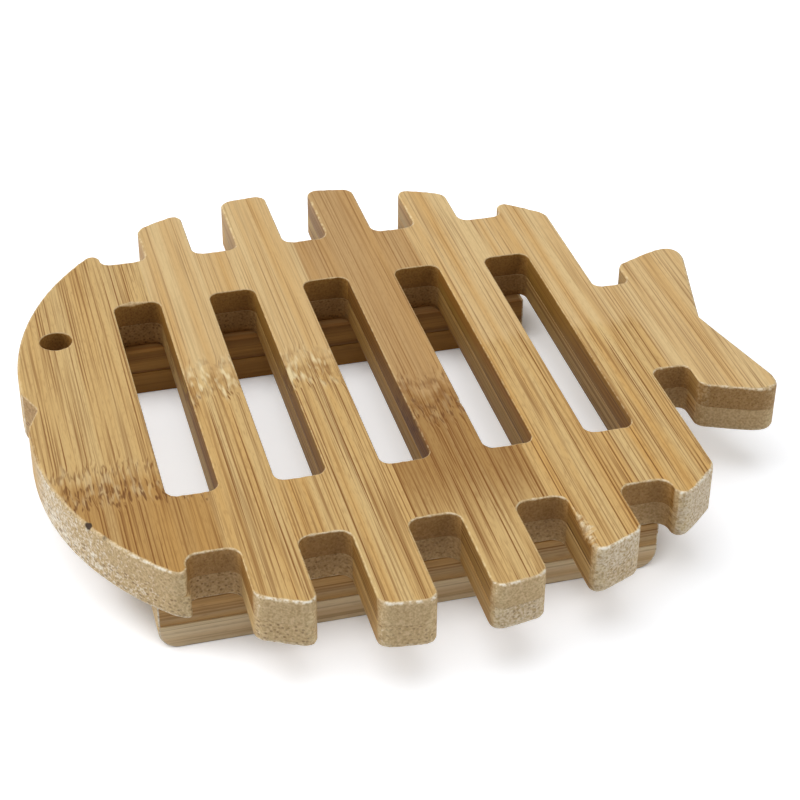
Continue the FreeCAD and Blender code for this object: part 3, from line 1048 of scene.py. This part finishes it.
def painted_floor():
    """Matt white paint: even and pale, with the dish's shadow on it and a deeper one close beneath it."""
    light = bpy.context.scene.soap_dish_light
    material = bpy.data.materials.new("matt_white_paint")
    tree = bare_tree(material)
    matt = add(tree, "BsdfDiffuse", {"Color": light.floor_tone})
    open_sky = add(tree, "AmbientOcclusion", {"Distance": light.floor_shade})
    shaded = add(tree, "MapRange", {
        "Value": open_sky.outputs["AO"], "From Min": COVERED_SKY, "From Max": FREE_SKY,
        "To Max": light.floor_lift})
    lift = add(tree, "Math", {0: shown_rays(tree), 1: shaded}, operation="MULTIPLY")
    glow = add(tree, "Emission", {"Strength": lift})
    both = add(tree, "AddShader", {0: matt, 1: glow})
    add(tree, "OutputMaterial", {"Surface": both})
    return material


def white_sky():
    """White backdrop that is seen, with a softer light on the wood."""
    world = bpy.data.worlds.new("white_sky")
    bpy.context.scene.world = world
    tree = bare_tree(world)
    strength = add(tree, "MapRange", {
        "Value": shown_rays(tree), "To Min": bpy.context.scene.soap_dish_light.sky, "To Max": 1.0})
    glow = add(tree, "Background", {"Strength": strength})
    add(tree, "OutputWorld", {"Surface": glow})


def softbox(name, heading, elevation, spread, light):
    """Broad lamp far away, where a light of 1 shows a colour square to it as it is written."""
    lamp = bpy.data.lights.new(name, "SUN")
    lamp.angle = math.radians(spread)
    lamp.energy = math.pi * light
    lamp_object = bpy.data.objects.new(name, lamp)
    lamp_object.rotation_euler = (0, math.radians(90 - elevation), math.radians(heading))
    bpy.context.scene.collection.objects.link(lamp_object)


# Where the camera stands, how it is turned in degrees, its sensor's width in millimetres, and how near and
# far it sees in metres
CAMERA_PLACE = (-66.277 * MM, -246.695 * MM, 184.129 * MM)
CAMERA_TURN = (55.4822, -0.4462, -15.0822)
SENSOR_WIDTH = 36.0
NEAREST, FURTHEST = 0.01, 20.0
FLOOR_SIZE = 4.0


class SOAPDISH_OT_stage(bpy.types.Operator):
    """Set the floor, the lamps and the camera"""
    bl_idname = "soap_dish.stage"
    bl_label = "Set Stage"

    def execute(self, context):
        scene = context.scene
        light = scene.soap_dish_light
        scene.view_settings.view_transform = "Standard"

        mesh = bpy.data.meshes.new("floor")
        half = FLOOR_SIZE / 2
        corners = [(-half, -half, 0), (half, -half, 0), (half, half, 0), (-half, half, 0)]
        mesh.from_pydata(corners, [], [(0, 1, 2, 3)])
        mesh.materials.append(painted_floor())
        floor = bpy.data.objects.new("floor", mesh)
        scene.collection.objects.link(floor)

        white_sky()
        softbox("top_softbox", heading=160, elevation=80, spread=60, light=light.top_lamp)
        softbox("left_softbox", heading=165, elevation=30, spread=50, light=light.left_lamp)
        softbox("right_softbox", heading=-35, elevation=28, spread=50, light=light.right_lamp)

        lens = bpy.data.cameras.new("camera")
        lens.sensor_width = SENSOR_WIDTH
        lens.lens = light.lens
        lens.clip_start = NEAREST
        lens.clip_end = FURTHEST
        camera = bpy.data.objects.new("camera", lens)
        camera.location = CAMERA_PLACE
        camera.rotation_euler = [math.radians(turn) for turn in CAMERA_TURN]
        scene.collection.objects.link(camera)
        scene.camera = camera
        return {"FINISHED"}


class SOAPDISH_PT_sidebar(bpy.types.Panel):
    """Steps and settings of the soap dish"""
    bl_idname = "SOAPDISH_PT_sidebar"
    bl_label = "Soap Dish"
    bl_space_type = "VIEW_3D"
    bl_region_type = "UI"
    bl_category = "Soap Dish"

    def draw(self, context):
        column = self.layout.column()
        for operator in OPERATORS:
            column.operator(operator.bl_idname)
        for name in SETTINGS:
            group = getattr(context.scene, name)
            for setting in group.__annotations__:
                column.prop(group, setting)


SETTINGS = {"soap_dish_edges": SandedEdges, "soap_dish_tones": BambooTones, "soap_dish_light": StageLight}
OPERATORS = (SOAPDISH_OT_top_ply, SOAPDISH_OT_lower_ply, SOAPDISH_OT_runners, SOAPDISH_OT_stage)


def register():
    for cls in (*SETTINGS.values(), *OPERATORS, SOAPDISH_PT_sidebar):
        bpy.utils.register_class(cls)
    for name, group in SETTINGS.items():
        setattr(bpy.types.Scene, name, PointerProperty(type=group))


def unregister():
    for name in SETTINGS:
        delattr(bpy.types.Scene, name)
    for cls in (SOAPDISH_PT_sidebar, *reversed(OPERATORS), *SETTINGS.values()):
        bpy.utils.unregister_class(cls)


def main():
    register()
    bpy.ops.soap_dish.top_ply()
    bpy.ops.soap_dish.lower_ply()
    bpy.ops.soap_dish.runners()
    bpy.ops.soap_dish.stage()


if __name__ == "__main__":
    main()
